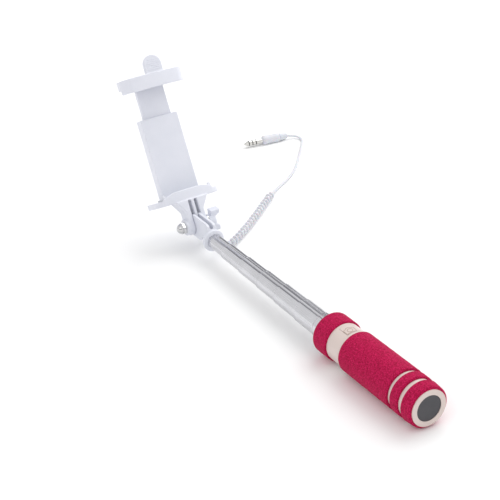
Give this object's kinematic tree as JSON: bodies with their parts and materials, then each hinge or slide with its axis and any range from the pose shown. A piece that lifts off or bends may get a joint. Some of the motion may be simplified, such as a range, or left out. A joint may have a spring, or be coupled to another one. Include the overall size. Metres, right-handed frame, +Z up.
{
  "type": "selfie stick",
  "caption": "Telescopic selfie stick with a foam grip, shutter button, tilting sprung phone clamp and a coiled lead ending in a phone jack.",
  "frame": {"origin": "under the middle of the stick's bounding box without its cord, on the surface it lies on", "axes": "+Y from the grip's end towards the phone clamp, +Z up, X along the clamp's hinge with the wing knob on +X"},
  "size_m": [0.161, 0.3576, 0.1133],
  "materials": {
    "white_plastic": "satin white moulded plastic",
    "pad_rubber": "white soft rubber",
    "steel_tube": "polished drawn stainless steel",
    "plated_steel": "bright plated steel",
    "spring_steel": "spring wire",
    "pink_foam": "fine-celled crimson foam",
    "beige_plastic": "pearl beige moulded plastic",
    "grey_disc": "dark grey satin plastic",
    "cord_white": "soft white vinyl",
    "jack_metal": "bright nickel plating",
    "jack_bands": "black insulating rings",
    "board_green": "green solder mask",
    "switch_black": "black switch body"
  },
  "bodies": {
    "handle": {"handle_core": "beige_plastic", "foam_front_ring": "pink_foam", "foam_main_grip": "pink_foam", "foam_middle_ring": "pink_foam", "foam_end_ring": "pink_foam", "button_collar": "beige_plastic", "circuit_board": "board_green", "tact_switch": "switch_black", "handle_lead_coil": "cord_white", "handle_lead_wire": "cord_white", "end_cap": "beige_plastic", "end_disc": "grey_disc", "tube_7": "steel_tube"},
    "button": {"shutter_button": "beige_plastic"},
    "section_6": {"tube_6": "steel_tube"},
    "section_5": {"tube_5": "steel_tube"},
    "section_4": {"tube_4": "steel_tube"},
    "section_3": {"tube_3": "steel_tube"},
    "section_2": {"tube_2": "steel_tube"},
    "section_1": {"tube_1": "steel_tube", "head_fork": "white_plastic", "cord_gland": "cord_white", "cord_lead_in": "cord_white", "cord_coil": "cord_white", "cord_lead_out": "cord_white", "plug_boot": "cord_white", "plug_body": "white_plastic", "plug_nose": "white_plastic", "jack_sleeve": "jack_metal", "jack_ring_rear": "jack_metal", "jack_ring_front": "jack_metal", "jack_insulators": "jack_bands", "jack_tip": "jack_metal"},
    "clamp": {"clamp_base": "white_plastic", "clamp_rear_cover": "white_plastic", "lower_jaw_pad": "pad_rubber", "dome_nut": "plated_steel", "hinge_washer": "plated_steel", "clamp_spring_left": "spring_steel", "clamp_spring_right": "spring_steel"},
    "upper_jaw": {"clamp_upper_jaw": "white_plastic", "clamp_tongue": "white_plastic", "upper_jaw_pad": "pad_rubber"},
    "wing_screw": {"wing_knob": "white_plastic", "hinge_screw": "plated_steel"}
  },
  "joints": [
    {"name": "slide_6", "type": "slide", "parent": "handle", "child": "section_6", "axis": [0, 1, 0], "range_m": [-0.017, 0.04]},
    {"name": "slide_5", "type": "slide", "parent": "section_6", "child": "section_5", "axis": [0, 1, 0], "range_m": [-0.0206, 0.039]},
    {"name": "slide_4", "type": "slide", "parent": "section_5", "child": "section_4", "axis": [0, 1, 0], "range_m": [-0.0181, 0.04]},
    {"name": "slide_3", "type": "slide", "parent": "section_4", "child": "section_3", "axis": [0, 1, 0], "range_m": [-0.0196, 0.04]},
    {"name": "slide_2", "type": "slide", "parent": "section_3", "child": "section_2", "axis": [0, 1, 0], "range_m": [-0.0192, 0.04]},
    {"name": "slide_1", "type": "slide", "parent": "section_2", "child": "section_1", "axis": [0, 1, 0], "range_m": [-0.016, 0.04]},
    {"name": "clamp_tilt", "type": "hinge", "parent": "section_1", "child": "clamp", "pos_m": [0, 0.09428, 0.01415], "axis": [1, 0, 0], "range_deg": [-120, 65]},
    {"name": "jaw_slide", "type": "slide", "parent": "clamp", "child": "upper_jaw", "axis": [0, 0.4532, 0.8914], "range_m": [-0.0155, 0.0145], "stiffness_N_per_m": 150, "deforming": ["clamp_spring_left", "clamp_spring_right"]},
    {"name": "wing_screw_turn", "type": "hinge", "parent": "clamp", "child": "wing_screw", "pos_m": [0, 0.09428, 0.01415], "axis": [1, 0, 0], "continuous": true},
    {"name": "shutter_press", "type": "slide", "parent": "handle", "child": "button", "axis": [0, 0, -1], "range_m": [0, 0.0004], "stiffness_N_per_m": 800}
  ]
}
